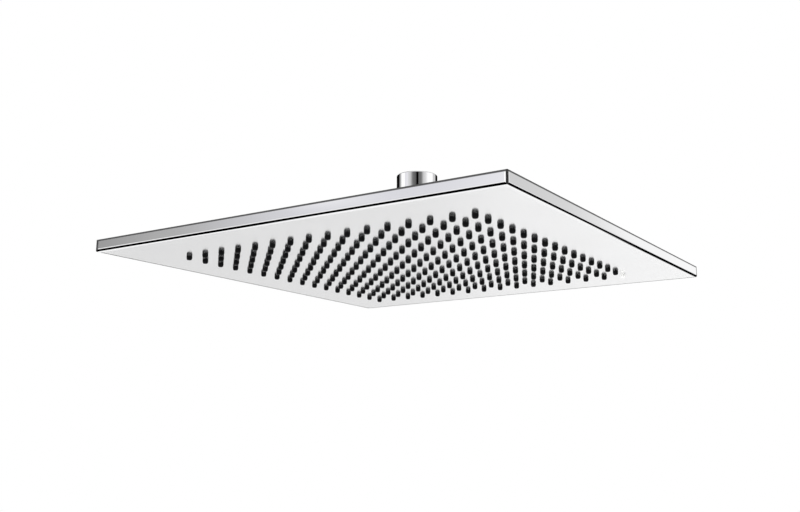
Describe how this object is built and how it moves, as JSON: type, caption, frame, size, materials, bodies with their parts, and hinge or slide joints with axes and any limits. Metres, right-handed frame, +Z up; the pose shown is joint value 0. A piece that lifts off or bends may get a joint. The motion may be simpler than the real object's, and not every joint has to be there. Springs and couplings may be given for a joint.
{
  "type": "shower head",
  "caption": "Square slim rain shower head with a chrome spray plate, soft black nozzles in a grid, and a ball joint under a round threaded inlet.",
  "frame": {"origin": "centre of the inlet's mouth, on the thread's axis", "axes": "+Z up the thread's axis, out of the inlet's mouth; the spray plate faces -Z and its sides lie along X and Y, with the plugged corner hole at +X +Y"},
  "size_m": [0.3, 0.3, 0.0668],
  "materials": {
    "polished_chrome": "mirror-polished chrome plate",
    "chromed_brass": "turned brass, chrome plated where it shows",
    "black_silicone": "soft satin silicone",
    "black_rubber": "matt moulded rubber",
    "white_acetal": "smooth natural acetal",
    "grey_abs": "moulded pale grey plastic",
    "stainless": "plain stainless steel"
  },
  "bodies": {
    "inlet": {"inlet_socket": "polished_chrome", "ball_stem": "chromed_brass", "stem_washer": "black_rubber", "flow_regulator": "white_acetal", "regulator_ring": "black_rubber", "filter_washer": "black_rubber", "filter_disc": "stainless"},
    "liner": {"upper_liner": "white_acetal"},
    "seat": {"lower_seat": "white_acetal"},
    "head": {"seat_ring": "black_rubber", "ball_nut": "polished_chrome", "hub": "chromed_brass", "hub_gasket": "black_rubber", "hub_washer": "stainless", "hub_lock_nut": "polished_chrome", "back_cover": "polished_chrome", "chamber_plate": "grey_abs", "chamber_seal": "black_rubber", "plate_screws": "stainless", "plate_posts": "stainless", "post_seals": "black_rubber", "nozzle_mat": "black_silicone", "corner_plug": "white_acetal", "face_tray": "polished_chrome"}
  },
  "joints": [
    {"name": "tilt_x", "type": "hinge", "parent": "inlet", "child": "liner", "pos_m": [0, 0, -0.03906], "axis": [1, 0, 0], "range_deg": [-10, 10]},
    {"name": "tilt_y", "type": "hinge", "parent": "liner", "child": "seat", "pos_m": [0, 0, -0.03906], "axis": [0, 1, 0], "range_deg": [-10, 10]},
    {"name": "spin_z", "type": "hinge", "parent": "seat", "child": "head", "pos_m": [0, 0, -0.03906], "axis": [0, 0, 1], "continuous": true}
  ]
}
